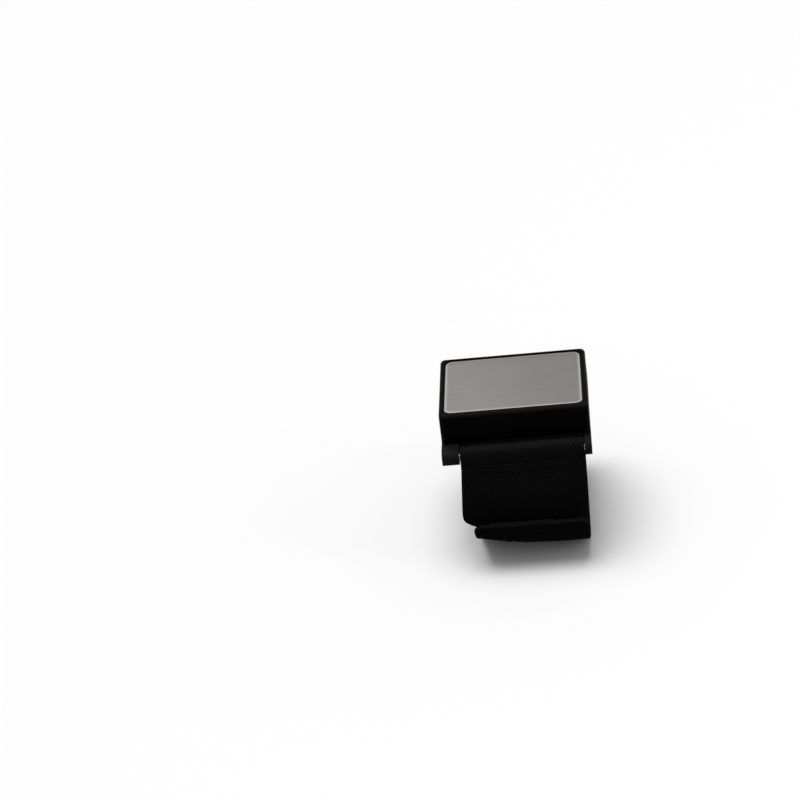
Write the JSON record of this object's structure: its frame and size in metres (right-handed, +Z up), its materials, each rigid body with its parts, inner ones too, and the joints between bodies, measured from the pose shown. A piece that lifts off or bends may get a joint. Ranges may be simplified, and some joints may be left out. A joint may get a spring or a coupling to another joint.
{
  "type": "magnetic wristband",
  "caption": "Wrist-worn magnetic parts holder: a steel-faced magnet housing on a saddle base, with webbing straps that hinge on bars and close with hook and loop.",
  "frame": {"origin": "middle of the wrist opening: on the plane midway between the bar pairs and between the two ends of the housing, at the height of the front wrist circle's centre", "axes": "+X along the forearm towards the elbow, +Y across the wrist from the front strap to the rear strap, +Z up through the face plate"},
  "size_m": [0.0538, 0.0709, 0.0573],
  "materials": {
    "housing_plastic": "satin black moulded plastic",
    "base_plastic": "satin black moulded plastic",
    "face_steel": "fine-ground steel with a soft sheen",
    "zinc_steel": "bright zinc plate",
    "ferrite": "dark grey ground ferrite",
    "foam": "closed-cell foam",
    "tape": "white adhesive tape",
    "webbing": "black woven nylon webbing",
    "hook_loop": "black hook and loop"
  },
  "bodies": {
    "housing": {"upper_housing": "housing_plastic", "face_plate": "face_steel", "plate_tape": "tape", "magnet_1": "ferrite", "magnet_2": "ferrite", "magnet_3": "ferrite", "magnet_4": "ferrite", "magnet_5": "ferrite", "magnet_6": "ferrite", "backing_plate": "zinc_steel", "foam_spacer": "foam", "base_saddle": "base_plastic", "case_screw_1": "zinc_steel", "case_screw_2": "zinc_steel", "case_screw_3": "zinc_steel", "case_screw_4": "zinc_steel", "comfort_pad": "foam", "front_bar": "zinc_steel", "rear_bar": "zinc_steel"},
    "front_strap": {"front_strap": "webbing", "loop_patch": "hook_loop"},
    "rear_strap": {"rear_strap": "webbing"},
    "strap_tail": {"strap_tail": "webbing", "hook_patch": "hook_loop"}
  },
  "joints": [
    {"name": "rear_strap_swing", "type": "hinge", "parent": "housing", "child": "rear_strap", "pos_m": [0, 0.02515, 0.0179], "axis": [1, 0, 0], "range_deg": [0, 110]},
    {"name": "tail_peel", "type": "hinge", "parent": "rear_strap", "child": "strap_tail", "pos_m": [0, -0.01015, -0.0243], "axis": [1, 0, 0], "range_deg": [0, 72]},
    {"name": "front_strap_swing", "type": "hinge", "parent": "housing", "child": "front_strap", "pos_m": [0, -0.02515, 0.0179], "axis": [1, 0, 0], "range_deg": [-28, 0]}
  ],
  "couplings": [
    {"joint": "tail_peel", "follows": "rear_strap_swing", "ratio": 0.65},
    {"joint": "front_strap_swing", "follows": "rear_strap_swing", "ratio": -0.25}
  ]
}
